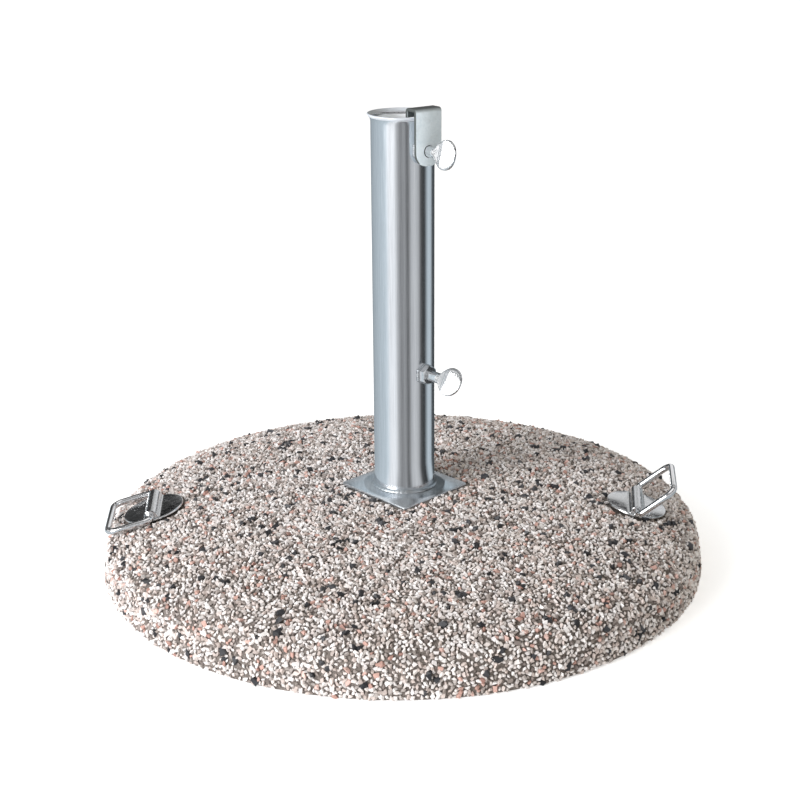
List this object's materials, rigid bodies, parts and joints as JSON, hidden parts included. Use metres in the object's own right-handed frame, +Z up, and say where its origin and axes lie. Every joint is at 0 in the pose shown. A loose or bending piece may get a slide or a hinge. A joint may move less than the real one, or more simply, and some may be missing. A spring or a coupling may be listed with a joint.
{
  "type": "parasol base",
  "caption": "Round washed-concrete parasol base with a steel stand tube, a hook-over clamp bracket, thumb screws and folding lift rings.",
  "frame": {"origin": "centre of the weight's underside, on the ground and on the tube's axis", "axes": "+Z up along the stand tube; +X to the right and +Y to the back, with the bracket at 53 degrees from +X towards -Y"},
  "size_m": [0.604, 0.604, 0.458],
  "materials": {
    "washed_concrete": "matte",
    "rod_steel": "matte",
    "satin_stainless": "satin",
    "brushed_stainless": "satin",
    "weld_bead": "satin",
    "bright_zinc": "gloss",
    "galvanised_steel": "matte",
    "polished_chrome": "polished"
  },
  "bodies": {
    "root": {"concrete_weight": "washed_concrete", "reinforcement_hoop": "rod_steel", "reinforcement_bars": "rod_steel", "foot_plate": "satin_stainless", "foot_anchors": "rod_steel", "stand_tube": "brushed_stainless", "foot_weld": "weld_bead", "lower_weld_nut": "bright_zinc", "upper_weld_nut": "bright_zinc", "nut_welds": "weld_bead", "clamp_bracket": "galvanised_steel", "left_handle_plate": "galvanised_steel", "right_handle_plate": "galvanised_steel", "left_handle_anchors": "rod_steel", "right_handle_anchors": "rod_steel"},
    "lower_stud": {"lower_screw_stud": "bright_zinc"},
    "lower_head": {"lower_screw_head": "bright_zinc"},
    "upper_stud": {"upper_screw_stud": "bright_zinc"},
    "upper_head": {"upper_screw_head": "bright_zinc"},
    "left_ring": {"left_lift_ring": "polished_chrome"},
    "right_ring": {"right_lift_ring": "polished_chrome"}
  },
  "joints": [
    {"name": "lower_screw_travel", "type": "slide", "parent": "root", "child": "lower_stud", "axis": [0.682, -0.7314, 0], "range_m": [0, 0.012]},
    {"name": "lower_screw_turn", "type": "hinge", "parent": "lower_stud", "child": "lower_head", "pos_m": [0.03069, -0.03291, 0.1995], "axis": [0.682, -0.7314, 0], "range_deg": [0, 2880]},
    {"name": "upper_screw_travel", "type": "slide", "parent": "root", "child": "upper_stud", "axis": [0.6018, -0.7986, 0], "range_m": [0, 0.0045]},
    {"name": "upper_screw_turn", "type": "hinge", "parent": "upper_stud", "child": "upper_head", "pos_m": [0.02708, -0.03594, 0.4185], "axis": [0.6018, -0.7986, 0], "range_deg": [0, 1080]},
    {"name": "left_ring_lift", "type": "hinge", "parent": "root", "child": "left_ring", "pos_m": [-0.25127, -0.01978, 0.06139], "axis": [-0.0785, 0.9969, 0], "range_deg": [0, 176]},
    {"name": "right_ring_lift", "type": "hinge", "parent": "root", "child": "right_ring", "pos_m": [0.23308, -0.02862, 0.06513], "axis": [-0.1219, -0.9925, 0], "range_deg": [-51, 125]}
  ],
  "couplings": [
    {"joint": "lower_screw_turn", "follows": "lower_screw_travel", "rad_per_m": 4188.8},
    {"joint": "upper_screw_turn", "follows": "upper_screw_travel", "rad_per_m": 4188.8}
  ]
}
